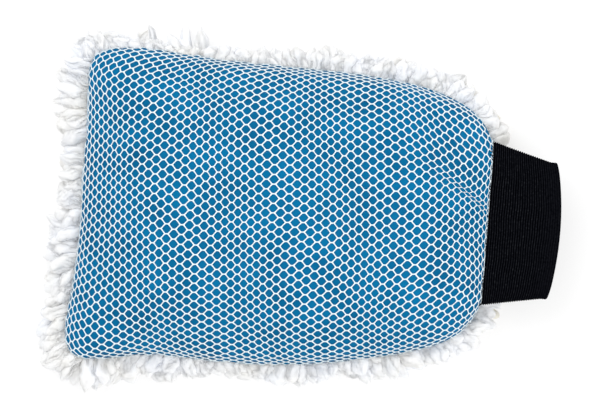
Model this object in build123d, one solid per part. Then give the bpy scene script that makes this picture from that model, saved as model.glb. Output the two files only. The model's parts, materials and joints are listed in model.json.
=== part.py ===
from build123d import *
import os

# Car wash mitt, lying flat with the netted scrubbing face up and the pile face down.
#
# A pillow-shaped mitt: white net over a blue face fabric, a foam pad, a lined hand pocket, and a
# pile cloth whose locks show all round the edge.  A knitted elastic cuff is sewn round the mouth
# at the +X end and folds about its seam.
#
# Millimetres.  Origin at the centre of the footprint on the table, +X towards the cuff, +Z up.

os.makedirs("parts", exist_ok=True)

# ---------------------------------------------------------------- driving dimensions
PILE_DEPTH = 12.8          # pile under the mitt, squashed by its weight
CLOTH = 0.9                # net, fabric and lining layers
GAP = 0.15                 # air between two sewn layers
BACKING_Z = 13.0           # underside of the pile's base cloth
SEAM_Z = 15.0              # plane in which the two faces are sewn together
EQUATOR_Z = 21.0           # height at which the padded face is widest
CROWN_Z = 57.0             # top of the net
SEAM_TUCK = 4.0            # how far the seam lies inside the widest line
FOAM_SIDE = 12.0           # foam thickness at the sides
FOAM_TOP = 14.0            # foam thickness at the crown

BACKING_THICK = 1.0        # the pile's base cloth
SEAM_LOW = 14.1            # the seam's layers lie between the base cloth and the face
SEAM_HIGH = 14.9
PILE_INSET = 0.5           # how far each flat layer's edge lies inside the face's outline
BACKING_INSET = 4.2
LINING_INSET = 14.0
BINDING_INSET = (6.5, 13.0)
STITCHING_INSET = (5.0, 5.8)
FRINGE_INSET = -0.6
FRINGE_REACH = 12.4        # how far the outermost locks stand out past the face
FRINGE_Z = (2.0, 22.5)
FRINGE_END_GAP = 3.0       # between the locks and the cuff, both sides together

CUFF_ORIGIN = (95.8, -8.1)  # middle of the cuff's seam, in plan
CUFF_TURN = -4.5            # the cuff points slightly towards -Y, degrees
CUFF_Z = 24.0               # mid height of the cuff
CUFF_ROOT_WIDTH = 84.4
CUFF_END_WIDTH = 71.0
CUFF_END_SHIFT = -1.4       # the free edge's middle, across the cuff
CUFF_HEIGHT = 18.0
CUFF_WALL = 1.6
CUFF_REACH = 38.9           # seam to the furthest point of the free edge
CUFF_CORNER_REACH = 35.1    # seam to the free edge's corners
CUFF_INSIDE = 12.0          # seam allowance inside the mouth
FOLD_X = 2.4                # the fold line, just past the seam
FOLD_RADIUS = 11.0          # the sewn root ends in this round, about the fold line
FOLD_CLEARANCE = 0.35
MOUTH_X = 1.6               # the face's layers are trimmed here
MOUTH_BACK = -45.0          # the way in from the cuff has reached the hand pocket

OVERLOCK_WIDTH = 0.6        # the overlock bead, along the cuff
OVERLOCK_OUT = 1.5          # its outer and inner sides, from the cuff's surface
OVERLOCK_IN = 0.2
CLOSING_STITCH = (1.5, 3.0, 0.5)
CLOSING_PITCH = 2.6
CLOSING_COUNT = 8
CLOSING_START = 14.5        # the first closing stitch, along the cuff
CLOSING_ACROSS = -18.0
CLOSING_DROP = 0.3          # the stitches' middle, under the cuff

CENTRE = (-8.0, 0.0)        # the levels of the padded face shrink towards this point
HALF_LENGTH = 107.0
HALF_WIDTH = 79.0
BIG = 400.0                 # larger than the mitt, for cutting tools

# The widest line of the padded face, in plan, anticlockwise from the middle of the finger end.
FACE_OUTLINE = [
    (-113.6, 4.0), (-116.2, -26.0), (-120.0, -49.0), (-122.4, -66.0), (-119.4, -76.0),
    (-109.0, -79.0), (-86.0, -76.9), (-52.0, -79.0), (-13.0, -81.8), (26.0, -79.6),
    (62.0, -73.6), (82.5, -65.0), (93.3, -48.0), (96.4, -19.5), (98.0, 4.0),
    (98.6, 27.5), (92.6, 45.2), (76.4, 57.5), (41.6, 67.6), (-5.0, 72.9),
    (-63.0, 80.4), (-97.5, 83.2), (-106.8, 79.6), (-110.2, 63.5), (-111.4, 35.0),
]
FACETS_PER_POINT = 3        # flat facets of the padded layers for each point of the outline
DOME_RISE = 0.75            # powers that give the dome's round shoulders
DOME_NARROWING = 0.36
# Shares of the dome's rise at which it changes slope.
DOME_LEVELS = (0.0, 0.06, 0.16, 0.3, 0.46, 0.62, 0.77, 0.89, 0.96)


# ---------------------------------------------------------------- building blocks
def facet_points():
    """Points round a smooth curve through FACE_OUTLINE, closer together where it turns."""
    curve = Edge.make_spline([Vector(x, y) for x, y in FACE_OUTLINE], periodic=True)
    knots = [curve.param_at_point(Vector(x, y)) for x, y in FACE_OUTLINE]
    points = []
    for here, after in zip(knots, knots[1:] + knots[:1]):
        span = (after - here) % 1
        for k in range(FACETS_PER_POINT):
            points.append(curve.position_at((here + span * k / FACETS_PER_POINT) % 1))
    return points


outline_points = facet_points()


def outline_ring(z, inset=0.0, share=1.0):
    """The face's outline at height z, drawn in by inset and shrunk to a share of its size."""
    cx, cy = CENTRE
    scale_x = share * (1 - inset / HALF_LENGTH)
    scale_y = share * (1 - inset / HALF_WIDTH)
    return [Vector(cx + (p.X - cx) * scale_x, cy + (p.Y - cy) * scale_y, z) for p in outline_points]


def polygon_face(points):
    return Face(Wire.make_polygon(points, close=True))


def dome(inset, crown_z, equator_z=EQUATOR_Z):
    """A pillow's upper half on the seam plane, in flat facets."""
    rings = []
    if equator_z > SEAM_Z:
        rings.append(outline_ring(SEAM_Z, inset, 1 - SEAM_TUCK / HALF_LENGTH))
    for t in DOME_LEVELS:
        rise = (t / DOME_LEVELS[-1]) ** DOME_RISE
        z = equator_z + (crown_z - equator_z) * rise
        rings.append(outline_ring(z, inset, (1 - t) ** DOME_NARROWING))
    faces = [polygon_face(rings[0]), polygon_face(rings[-1])]
    for low, high in zip(rings, rings[1:]):
        for k in range(len(low)):
            after = (k + 1) % len(low)
            faces.append(polygon_face([low[k], low[after], high[after], high[k]]))
    return Solid(Shell(faces))


def slab(inset, bottom, top):
    """A flat sheet of the face's outline between two heights."""
    return extrude(polygon_face(outline_ring(bottom, inset)), amount=top - bottom, dir=(0, 0, 1))


def slot_face(x, width, height, shift=0.0):
    """A flattened round across the cuff's axis, in the cuff's frame."""
    plane = Plane(origin=(x, shift, CUFF_Z), x_dir=(0, 1, 0), z_dir=(1, 0, 0))
    return plane * SlotOverall(width, height)


def at_cuff(shape):
    """From the cuff's frame, X along the cuff, to the mitt's."""
    return Location((*CUFF_ORIGIN, 0), (0, 0, CUFF_TURN)) * shape


def cuff_tube(outset, start, end):
    """The cuff's outer form grown by outset: parallel inside the mouth, narrowing outside it."""
    height = CUFF_HEIGHT + 2 * outset
    share = (end - FOLD_X) / (CUFF_CORNER_REACH - FOLD_X)
    end_width = CUFF_ROOT_WIDTH + (CUFF_END_WIDTH - CUFF_ROOT_WIDTH) * share
    sections = [
        slot_face(start, CUFF_ROOT_WIDTH + 2 * outset, height),
        slot_face(FOLD_X, CUFF_ROOT_WIDTH + 2 * outset, height),
        slot_face(end, end_width + 2 * outset, height, CUFF_END_SHIFT * share),
    ]
    return loft(sections, ruled=True)


def past(x):
    """Everything beyond x along the cuff, as a cutting tool."""
    return at_cuff(Pos(x + BIG / 2, 0, 0) * Box(BIG, BIG, BIG))


def save(name, shape):
    export_step(shape, f"parts/{name}.step")


# ---------------------------------------------------------------- the mitt
mouth_hole = at_cuff(cuff_tube(GAP, MOUTH_BACK, CUFF_REACH))


def face_layer(depth):
    """A sewn cloth layer of the upper face, its outer side depth below the net's."""
    outer = dome(depth, CROWN_Z - depth)
    inner = dome(depth + CLOTH, CROWN_Z - depth - CLOTH)
    return outer - inner - mouth_hole


def make_foam_pad():
    depth = 2 * (CLOTH + GAP)
    outer = dome(depth, CROWN_Z - depth)
    hollow = dome(depth + FOAM_SIDE, CROWN_Z - depth - FOAM_TOP, SEAM_Z)
    return outer - hollow - mouth_hole


def make_lining_upper():
    depth = 2 * (CLOTH + GAP) + GAP
    outer = dome(depth + FOAM_SIDE, CROWN_Z - depth - FOAM_TOP, SEAM_Z)
    inner = dome(depth + FOAM_SIDE + CLOTH, CROWN_Z - depth - FOAM_TOP - CLOTH, SEAM_Z)
    return outer - inner - mouth_hole


def seam_ring(insets, top):
    """A flat band between two insets, on the pile's base cloth and open at the mouth."""
    outer, inner = insets
    band = slab(outer, SEAM_LOW, top) - slab(inner, SEAM_LOW - 1, top + 1)
    return band - past(-CUFF_INSIDE - 1)


def make_lining_lower():
    return slab(LINING_INSET, SEAM_LOW, SEAM_HIGH)


def make_seam_binding():
    """The tape that wraps the raw edges inside the perimeter seam."""
    return seam_ring(BINDING_INSET, SEAM_HIGH)


def make_perimeter_stitching():
    """The lockstitch line that closes the perimeter seam."""
    return seam_ring(STITCHING_INSET, SEAM_HIGH - 0.1)


def make_pile_backing():
    return slab(BACKING_INSET, BACKING_Z, BACKING_Z + BACKING_THICK) - past(MOUTH_X)


def make_pile_field():
    return slab(PILE_INSET, 0, PILE_DEPTH) - past(MOUTH_X)


def make_pile_fringe():
    """The locks that splay out round the edge, open where the cuff leaves."""
    low, high = FRINGE_Z
    ring = slab(-FRINGE_REACH, low, high) - slab(FRINGE_INSET, low - 1, high + 1)
    gap = Box(BIG, CUFF_ROOT_WIDTH + FRINGE_END_GAP, BIG)
    return ring - at_cuff(Pos(BIG / 2 - 3, 0, 0) * gap)


# ---------------------------------------------------------------- the cuff
def fold_round(radius):
    """The round about the fold line that the sewn root keeps inside and the cuff outside."""
    roller = Pos(FOLD_X, 0, CUFF_Z) * Rot(90, 0, 0) * Cylinder(radius, BIG)
    return at_cuff(roller)


def elastic():
    whole = cuff_tube(0, -CUFF_INSIDE, CUFF_REACH + 1)
    hollow = cuff_tube(-CUFF_WALL, -CUFF_INSIDE - 1, CUFF_REACH + 2)
    return at_cuff(whole - hollow)


def make_cuff_root():
    """The cuff's seam allowance: it stays with the mitt, and ends in the fold's round."""
    keep = fold_round(FOLD_RADIUS) + at_cuff(Pos(FOLD_X - BIG / 2, 0, 0) * Box(BIG, BIG, BIG))
    return elastic() & keep


def make_cuff_band():
    """The part of the elastic that folds: from the root's round to the bowed free edge."""
    half = CUFF_END_WIDTH / 2
    bow = CUFF_REACH - CUFF_CORNER_REACH
    radius = (half**2 + bow**2) / (2 * bow)
    edge = at_cuff(Pos(CUFF_REACH - radius, 0, 0) * Cylinder(radius, BIG))
    behind = at_cuff(Pos(FOLD_X - BIG / 2, 0, 0) * Box(BIG, BIG, BIG))
    return (elastic() & edge) - behind - fold_round(FOLD_RADIUS + FOLD_CLEARANCE)


def make_mouth_overlock():
    """The overlock thread that binds the face's edge round the mouth."""
    start = MOUTH_X + 0.05
    outer = slot_face(start, CUFF_ROOT_WIDTH + 2 * OVERLOCK_OUT, CUFF_HEIGHT + 2 * OVERLOCK_OUT)
    inner = slot_face(start - 1, CUFF_ROOT_WIDTH + 2 * OVERLOCK_IN, CUFF_HEIGHT + 2 * OVERLOCK_IN)
    bead = extrude(outer, OVERLOCK_WIDTH, dir=(1, 0, 0)) - extrude(inner, 3, dir=(1, 0, 0))
    return at_cuff(bead)


def make_cuff_closing_stitches():
    """A bar of stitches across the underside, where the elastic's two ends are lapped."""
    stitch = Box(*CLOSING_STITCH)
    z = CUFF_Z - CUFF_HEIGHT / 2 - CLOSING_DROP
    places = [CLOSING_START + i * CLOSING_PITCH for i in range(CLOSING_COUNT)]
    bars = [Pos(x, CLOSING_ACROSS, z) * stitch for x in places]
    return at_cuff(Compound(children=bars))


save("scrub_net", face_layer(0.0))
save("face_fabric", face_layer(CLOTH + GAP))
save("foam_pad", make_foam_pad())
save("pocket_lining_upper", make_lining_upper())
save("pocket_lining_lower", make_lining_lower())
save("seam_binding", make_seam_binding())
save("perimeter_stitching", make_perimeter_stitching())
save("pile_backing", make_pile_backing())
save("pile_field", make_pile_field())
save("pile_fringe", make_pile_fringe())
save("cuff_root", make_cuff_root())
save("mouth_overlock", make_mouth_overlock())
save("cuff_band", make_cuff_band())
save("cuff_closing_stitches", make_cuff_closing_stitches())
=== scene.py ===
"""Looks of the car wash mitt: blue face under a white honeycomb net, white pile, black ribbed cuff.

Metres, in the CAD frame.  Every size comes from the CAD nodes' boxes or from the values below.
"""
import itertools
import json
import math

import bpy
import numpy as np
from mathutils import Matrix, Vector
from mathutils.bvhtree import BVHTree


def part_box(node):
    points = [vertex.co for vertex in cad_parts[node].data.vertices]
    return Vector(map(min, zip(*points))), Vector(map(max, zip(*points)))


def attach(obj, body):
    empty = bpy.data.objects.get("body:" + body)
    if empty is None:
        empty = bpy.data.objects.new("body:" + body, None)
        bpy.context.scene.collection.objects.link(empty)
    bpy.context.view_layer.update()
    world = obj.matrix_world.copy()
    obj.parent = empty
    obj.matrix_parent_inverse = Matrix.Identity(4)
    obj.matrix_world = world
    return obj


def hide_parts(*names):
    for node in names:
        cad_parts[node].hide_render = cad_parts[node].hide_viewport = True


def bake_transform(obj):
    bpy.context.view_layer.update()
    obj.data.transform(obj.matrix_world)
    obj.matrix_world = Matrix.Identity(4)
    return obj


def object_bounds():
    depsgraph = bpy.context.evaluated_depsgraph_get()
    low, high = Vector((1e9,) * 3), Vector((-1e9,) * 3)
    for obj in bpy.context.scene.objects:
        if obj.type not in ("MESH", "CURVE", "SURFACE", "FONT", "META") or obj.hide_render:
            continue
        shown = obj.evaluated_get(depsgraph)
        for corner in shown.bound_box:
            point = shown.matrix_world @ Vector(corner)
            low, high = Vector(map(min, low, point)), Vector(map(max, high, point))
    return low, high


MM = 0.001

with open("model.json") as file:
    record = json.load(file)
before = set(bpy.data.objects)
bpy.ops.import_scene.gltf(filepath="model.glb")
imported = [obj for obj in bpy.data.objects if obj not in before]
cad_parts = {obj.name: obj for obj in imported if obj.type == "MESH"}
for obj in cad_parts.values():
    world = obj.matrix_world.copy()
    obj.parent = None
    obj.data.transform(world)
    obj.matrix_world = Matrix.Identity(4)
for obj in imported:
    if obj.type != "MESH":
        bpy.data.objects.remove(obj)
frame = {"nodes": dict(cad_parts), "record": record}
CAD_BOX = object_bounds()

# ---- places from the frame
NET_LOW, NET_HIGH = (np.array(corner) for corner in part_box("scrub_net"))
PILE_LOW, PILE_HIGH = (np.array(corner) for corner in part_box("pile_field"))
ROOT_LOW, ROOT_HIGH = (np.array(corner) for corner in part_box("cuff_root"))
BACKING_LOW, BACKING_HIGH = (np.array(corner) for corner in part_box("pile_backing"))
FOLD = next(joint for joint in frame["record"]["behaviour"]["joints"] if joint["name"] == "cuff_fold")
FOLD_POINT = np.array(FOLD["pos_m"])
FOLD_AXIS = np.array(FOLD["axis"]) / np.linalg.norm(FOLD["axis"])
UP = np.array((0.0, 0.0, 1.0))
CUFF_AXIS = np.cross(FOLD_AXIS, UP)      # along the cuff, out of the mitt

# ---- driving sizes
CENTRE = np.array((-8.0, 0.0)) * MM      # middle of the padded face in plan
RIM_STEP = 0.5 * MM                      # the face stands this far past the pile block
SEAM_Z = BACKING_HIGH[2] + 1.0 * MM      # plane of the perimeter seam
EDGE_Z = SEAM_Z + 4.5 * MM               # where the padded face is widest
CROWN_Z = NET_HIGH[2] - 1.6 * MM         # top of the face fabric
SEAM_TUCK = 3.0 * MM                     # the seam lies this far under the widest line
FABRIC = 0.8 * MM
FACE_SLACK = 2.0 * MM                    # the face is made this much lower than its crown,
FACE_SWELL = 3.0 * MM                    # and pressure then raises it by this much at most
FOAM_TOP = 14.0 * MM                     # the pocket's lining lies this far under the crown
POCKET_INSET = 14.0 * MM
POCKET_BACK = 9.0 * MM                   # the pocket's open end lies this far inside the mouth
INNER_GRID = {"columns": 61, "rows": 49}  # mesh of the foam, the linings and the pile's base cloth
HALF_LENGTH = 107.0 * MM                 # half sizes of the oval that the crown's contours tend to
HALF_WIDTH = 79.0 * MM
CONTOUR_POWER = 3.0                      # how fast the level contours round off inside the outline
DOME_POWER = 3.0                         # flatness of the crown
DOME_SHOULDER = 0.6                      # roundness of the shoulder at the edge
SIDE_POWER = 120                         # how close to the two long sides the crown stays full
MOUTH_POWER = 16                         # the same, towards the mouth
MOUTH_LIFT_POWER = 5                     # how late the border rises to pass over the cuff

NET_COLUMN = 3.5 * MM                    # honeycomb: columns, rows and strand
NET_ROW = 4.94 * MM
NET_FLAT = 1.35 * MM
NET_STRAND = 0.66 * MM
NET_THICK = 0.6 * MM
NET_TURN = math.radians(-1.7)
NET_BOW = 4.2 * MM
NET_SHIFT = 2.0 * MM
NET_RIPPLE = 0.9 * MM                    # unevenness of the pull, along and across the mitt
NET_WANDER = 0.5 * MM
NET_CLEARANCE = 0.08 * MM
NET_CROWDING = 9.0 * MM                  # how far the cells near the mouth are drawn up to its seam
NET_LOOSENING = 150.0 * MM               # over this length the draw dies away
GATHER_START = (70.0 * MM, 22.0 * MM)    # the net's one gather starts here, measured along the face,
GATHER_SLOPE = -0.65                     # runs down towards the cuff,
GATHER_MIDDLE = 93.0 * MM                # is deepest here,
GATHER_LENGTH = 24.0 * MM                # dies away over this length,
GATHER_WIDTH = 6.0 * MM                  # and takes in the cells of this width
GATHER_DEPTH = 3.8 * MM                  # by this much from each side

CUFF_HALF = (ROOT_HIGH[2] - ROOT_LOW[2]) / 2
CUFF_ROOT_HALF = 42.2 * MM
CUFF_END_HALF = 35.5 * MM
CUFF_END_SHIFT = -1.4 * MM
CUFF_SEAM = -2.4 * MM                    # along the cuff, from the fold line
CUFF_INSIDE = -14.4 * MM                 # inner end of the seam allowance
NET_END = CUFF_SEAM + 0.8 * MM           # the net's cut edge laps a little way over the elastic
CUFF_REACH = 36.5 * MM
CUFF_CORNER_REACH = 32.7 * MM
CUFF_WALL = 1.6 * MM
RIB_PITCH = 1.25 * MM
RIB_HEIGHT = 0.26 * MM
RIB_FADE_START = 24.0 * MM               # the ribs flatten from here towards the free edge
RIB_FADE = 8.0 * MM
LAP_ACROSS = -18.0 * MM                  # where the elastic's two ends are lapped, underneath
LAP_HALF = 5.0 * MM
LAP_STEP = 0.6 * MM

# How far the locks reach past the face: degrees round from +X, and millimetres.
REACH_ROUND = ((-170, 19), (-160, 15), (-147, 17), (-137, 14.5), (-118, 10), (-98, 9.5), (-88, 12.5),
               (-72, 9), (-64, 12.5), (-56, 15.5), (-38, 13), (20, 13), (30, 13.5), (40, 14), (49, 12),
               (60, 9.5), (70, 13.5), (84, 12.5), (99, 8), (114, 9), (118, 5), (128, 5), (131, 9),
               (136, 12), (140, 16), (145, 18), (152, 17), (163, 14), (176, 13.5))
TUFTS = (116, 129)                       # loose tufts stand on their own between these degrees
SWIRL = 0.3                              # radians that the locks lean round the mitt, anticlockwise
CORNER = 8.0 * MM                        # length of the fringe's two ends, beside the cuff
CORE_RINGS, CORE_SIDES = 9, 10           # mesh of a lock's core
HAIR_RINGS, HAIR_SIDES = 7, 3            # mesh of one of its fine hairs
FRINGE_HAIRS, FIELD_HAIRS = 16, 8        # hairs to a lock, in the fringe and under the mitt

CAMERA_HEIGHT = 1.6
SENSOR = 36.0                            # millimetres, as Blender's lens lengths are
FRAME_MARGIN = 600 / 521                 # the picture's width over the mitt's

RANDOM = np.random.default_rng(7)


# ---- mesh helpers
def new_object(name, verts, faces):
    mesh = bpy.data.meshes.new(name)
    mesh.from_pydata([tuple(v) for v in verts], [], faces)
    mesh.validate()
    mesh.update()
    mesh.polygons.foreach_set("use_smooth", [True] * len(mesh.polygons))
    obj = bpy.data.objects.new(name, mesh)
    bpy.context.scene.collection.objects.link(obj)
    return obj


def grid_faces(rows, columns, start=0, wrap=False):
    """Quads of a grid of points stored row by row; wrap joins the last column to the first."""
    last = columns if wrap else columns - 1
    r, c = np.meshgrid(np.arange(rows - 1), np.arange(last), indexing="ij")
    a = start + r * columns + c
    b = start + r * columns + (c + 1) % columns
    quads = np.stack([a, b, b + columns, a + columns], axis=-1)
    return quads.reshape(-1, 4).tolist()


def strip_faces(first, second, closed=True):
    """Quads between two lines of point numbers, joined end to end if closed."""
    nexts = (np.roll(line, -1, axis=-1) for line in (first, second))
    quads = np.stack([first, *nexts, second], axis=-1)
    return (quads if closed else quads[:-1]).reshape(-1, 4).tolist()


def points_of(mesh):
    return np.array([tuple(v.co) for v in mesh.vertices])


def unit(vectors):
    return vectors / (np.linalg.norm(vectors, axis=-1, keepdims=True) + 1e-9)


def finish_piece(obj, material, body, replaces=()):
    """Gives a piece its material, its body and the CAD nodes that it stands for."""
    obj.data.materials.append(material)
    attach(obj, body)
    if replaces:
        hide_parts(*replaces)


# ---- the mitt's outline
def polar(points):
    """Angles about CENTRE, and distances from it, of points seen in plan."""
    offset = points[..., :2] - CENTRE
    return np.arctan2(offset[..., 1], offset[..., 0]), np.hypot(offset[..., 0], offset[..., 1])


def round_centre(points):
    """The same for a closed line, in order of angle."""
    angle, radius = polar(points)
    order = np.argsort(angle)
    return angle[order], radius[order]


def underside_rim():
    """The outline of the pile block's flat underside, as angles and distances."""
    points = points_of(frame["nodes"]["pile_field"].data)
    return round_centre(points[points[:, 2] < PILE_LOW[2] + 0.1 * MM])


RIM_ANGLE, RIM_RADIUS = underside_rim()


def rim_radius(angle):
    return np.interp(angle, RIM_ANGLE, RIM_RADIUS, period=2 * math.pi)


def outline(angle):
    """Points of the face's outline at angles about CENTRE."""
    radius = rim_radius(angle) + RIM_STEP
    return CENTRE + np.stack([radius * np.cos(angle), radius * np.sin(angle)], axis=-1)


def in_cuff_frame(xy):
    """Distances along the cuff from its fold line, and across it, of points in plan."""
    offset = xy - FOLD_POINT[:2]
    return offset @ CUFF_AXIS[:2], offset @ FOLD_AXIS[:2]


def from_cuff_frame(along, across, z):
    """Points from distances along the cuff and across it, and heights."""
    along, across, z = np.broadcast_arrays(along, across, z)
    base = np.array((FOLD_POINT[0], FOLD_POINT[1], 0.0))
    return base + along[..., None] * CUFF_AXIS + across[..., None] * FOLD_AXIS + z[..., None] * UP


def interpolate(at, known, points):
    """Points of a line at some places along it, from its points at known places."""
    return np.stack([np.interp(at, known, column) for column in points.T], axis=-1)


def resample(points, count):
    """The same line, as evenly spaced points."""
    step = np.linalg.norm(np.diff(points, axis=0), axis=1)
    length = np.concatenate([[0.0], np.cumsum(step)])
    return interpolate(np.linspace(0.0, length[-1], count), length, points)


def angle_of(point):
    return math.atan2(point[1] - CENTRE[1], point[0] - CENTRE[0])


def outline_between(start, end, count):
    """Points along the outline, anticlockwise from one angle to another."""
    if end <= start:
        end += 2 * math.pi
    return resample(outline(np.linspace(start, end, 400)), count)


def edge_run(spacing):
    """Even points along the outline from one side of the mouth round to the other, with directions."""
    start, end = angle_of(outline_mouth(+1)), angle_of(outline_mouth(-1)) + 2 * math.pi
    fine = resample(outline(np.linspace(start, end, 1200)), 1200)
    length = np.linalg.norm(np.diff(fine, axis=0), axis=1).sum()
    count = int(length / spacing)
    tangent = unit(resample(np.gradient(resample(fine, 90), axis=0), count))
    outward = np.stack([tangent[:, 1], -tangent[:, 0]], axis=-1)
    return resample(fine, count), tangent, outward


def corner_angle(sign):
    """The angle of the sharp corner at the finger end, on the +Y or -Y side."""
    angles = np.linspace(-math.pi, math.pi, 2000)
    points = outline(angles)
    return angles[np.argmax(-points[:, 0] + sign * 1.2 * points[:, 1])]


def coons(top, bottom, left, right):
    """Fills four sides with a smooth grid: bottom and top run along +X, left and right along +Y."""
    columns, rows = len(top), len(left)
    u = np.linspace(0, 1, columns)[None, :, None]
    v = np.linspace(0, 1, rows)[:, None, None]
    ruled_v = (1 - v) * bottom[None] + v * top[None]
    ruled_u = (1 - u) * left[:, None] + u * right[:, None]
    corners = ((1 - u) * (1 - v) * bottom[0] + u * (1 - v) * bottom[-1]
               + (1 - u) * v * top[0] + u * v * top[-1])
    return ruled_v + ruled_u - corners


def slot_top(across, half_width, half_height):
    """Height above the cuff's mid plane of a flattened round, at a distance across it."""
    beyond = np.maximum(np.abs(across) - (half_width - half_height), 0.0)
    return np.sqrt(np.maximum(half_height**2 - beyond**2, 0.0))


def even_angle(count):
    """Values from 0 to 1 that crowd towards both ends, for edges that roll over."""
    return (1 - np.cos(np.linspace(0, math.pi, count))) / 2


def pillow_rise(plan):
    """Share of the crown's height over points in plan: contours go from the outline to an oval."""
    angle, radius = polar(plan)
    edge = rim_radius(angle) + RIM_STEP
    oval = 1 / np.hypot(np.cos(angle) / HALF_LENGTH, np.sin(angle) / HALF_WIDTH)
    low, high = np.zeros_like(radius), np.ones_like(radius)
    for _ in range(20):  # halves the interval until the contour through the point is found
        outward = (low + high) / 2
        short = outward * (oval + (edge - oval) * outward**CONTOUR_POWER) < radius
        low, high = np.where(short, outward, low), np.where(short, high, outward)
    return (1 - high**DOME_POWER) ** DOME_SHOULDER


def padded_surface(inset, crown, edge_z, mouth_back=0.0, mouth_side=1, columns=97, rows=73):
    """A pillow's face as a grid (rows, columns, 3), open over or under the mouth at the +X end."""
    mouth_top = outline_mouth(+1)
    mouth_bottom = outline_mouth(-1)
    top = outline_between(angle_of(mouth_top), corner_angle(+1), columns)[::-1]
    left = outline_between(corner_angle(+1), corner_angle(-1), rows)[::-1]
    bottom = outline_between(corner_angle(-1), angle_of(mouth_bottom), columns)
    across = np.linspace(-CUFF_ROOT_HALF, CUFF_ROOT_HALF, rows)
    right = from_cuff_frame(CUFF_SEAM + 0.4 * MM - mouth_back, across, 0.0)[:, :2]

    taper = np.clip((1 - np.linspace(0, 1, columns)) * 3.5, 0, 1)[:, None]
    shrink = np.array((1 - inset / HALF_LENGTH, 1 - inset / HALF_WIDTH))
    near = np.linspace(0, 1, columns)[:, None] ** 6

    def long_side(line, end):
        line = CENTRE + (line - CENTRE) * (1 + (shrink - 1) * taper)
        return line + (end - line[-1]) * near

    top, bottom = long_side(top, right[-1]), long_side(bottom, right[0])
    left = CENTRE + (left - CENTRE) * shrink

    crowd_u, crowd_v = even_angle(columns), even_angle(rows)
    sides = ((top, crowd_u), (bottom, crowd_u), (left, crowd_v), (right, crowd_v))
    plan = coons(*(interpolate(crowd, np.linspace(0, 1, len(side)), side) for side, crowd in sides))

    u = (2 * crowd_u - 1)[None, :]
    v = (2 * crowd_v - 1)[:, None]
    rise = pillow_rise(CENTRE + (plan - CENTRE) / shrink)
    rise = rise * (1 - np.clip(u, 0, 1) ** MOUTH_POWER) ** DOME_SHOULDER
    rise = rise * (1 - np.abs(v) ** SIDE_POWER) ** DOME_SHOULDER
    mouth_half = 0.6 * MM + slot_top(v * CUFF_ROOT_HALF, CUFF_ROOT_HALF, CUFF_HALF)
    towards_mouth = np.clip((u + 1) / 2, 0, 1) ** MOUTH_LIFT_POWER
    rise_to_mouth = mouth_side * (FOLD_POINT[2] - edge_z) + mouth_half
    base = edge_z + mouth_side * np.maximum(rise_to_mouth, 0.0) * towards_mouth
    z = base + (crown - base) * rise
    return np.concatenate([plan, z[..., None]], axis=-1)


def outline_mouth(sign):
    """The mouth's end on the +1 or -1 side, where the cuff meets the outline."""
    return from_cuff_frame(CUFF_SEAM, sign * CUFF_ROOT_HALF, 0.0)[:2]


# ---- materials
class Surface:
    """A material in the making: its shader, its nodes, and the coordinates of its textures."""

    def __init__(self, name, colour, roughness, specular=0.1):
        self.material = bpy.data.materials.new(name)
        self.material.use_nodes = True
        self.nodes = self.material.node_tree.nodes
        self.links = self.material.node_tree.links
        self.shader = self.nodes["Principled BSDF"]
        self.set("Base Color", (*colour, 1.0))
        self.set("Roughness", roughness)
        self.set("Specular IOR Level", specular)
        self.at = self.nodes.new("ShaderNodeTexCoord").outputs["Object"]

    def set(self, socket, value):
        self.shader.inputs[socket].default_value = value

    def texture(self, kind, scale):
        node = self.nodes.new(kind)
        node.inputs["Scale"].default_value = scale
        self.links.new(self.at, node.inputs["Vector"])
        return node

    def noise(self, scale, detail=3.0):
        node = self.texture("ShaderNodeTexNoise", scale)
        node.inputs["Detail"].default_value = detail
        return node.outputs["Fac"]

    def wave(self, pitch, direction):
        """Bands of the given pitch in metres, from 0 to 1."""
        node = self.texture("ShaderNodeTexWave", 0.314 / pitch)
        node.bands_direction = direction
        return node.outputs["Fac"]

    def maths(self, operation, *values):
        node = self.nodes.new("ShaderNodeMath")
        node.operation = operation
        for socket, value in zip(node.inputs, values):
            if isinstance(value, (int, float)):
                socket.default_value = value
            else:
                self.links.new(value, socket)
        return node.outputs["Value"]

    def knit(self, course, wale):
        """Courses along X crossed by wales along Y, at these pitches."""
        return self.maths("MULTIPLY", self.wave(course, "X"), self.wave(wale, "Y"))

    def colour(self, value, *stops):
        """Colours the surface by a value, through stops of (position, colour)."""
        node = self.nodes.new("ShaderNodeValToRGB")
        elements = node.color_ramp.elements
        for end, (position, colour) in zip((elements[0], elements[1]), (stops[0], stops[-1])):
            end.position = position
            end.color = (*colour, 1.0)
        for position, colour in stops[1:-1]:
            elements.new(position).color = (*colour, 1.0)
        self.links.new(value, node.inputs["Fac"])
        self.links.new(node.outputs["Color"], self.shader.inputs["Base Color"])

    def bump(self, height, strength, distance):
        node = self.nodes.new("ShaderNodeBump")
        node.inputs["Strength"].default_value = strength
        node.inputs["Distance"].default_value = distance
        self.links.new(height, node.inputs["Height"])
        self.links.new(node.outputs["Normal"], self.shader.inputs["Normal"])


def face_material():
    """Fine blue knit: tiny courses and wales, with painted shade darkening the hollows between them."""
    surface = Surface("blue_knit", (0.002, 0.17, 0.43), 0.7, 0.06)
    knit = surface.knit(0.55 * MM, 0.6 * MM)
    # Painted shade: the knit's pattern darkens the colour between its loops; the noise adds a random tone.
    knit_shade_and_tone = surface.maths("MULTIPLY_ADD", knit, 0.35, surface.noise(60.0))
    surface.colour(knit_shade_and_tone, (0.3, (0.0003, 0.1, 0.235)), (0.85, (0.0004, 0.175, 0.385)))
    surface.bump(knit, 0.5, 0.2 * MM)
    return surface.material


def net_material():
    """White polyester strands with fine filaments."""
    surface = Surface("white_net", (0.86, 0.9, 0.92), 0.42, 0.4)
    filaments = surface.noise(2600.0, 2.0)
    surface.colour(filaments, (0.3, (0.76, 0.88, 0.95)), (0.7, (0.94, 1.0, 1.0)))
    surface.bump(filaments, 0.35, 0.12 * MM)
    return surface.material


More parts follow.
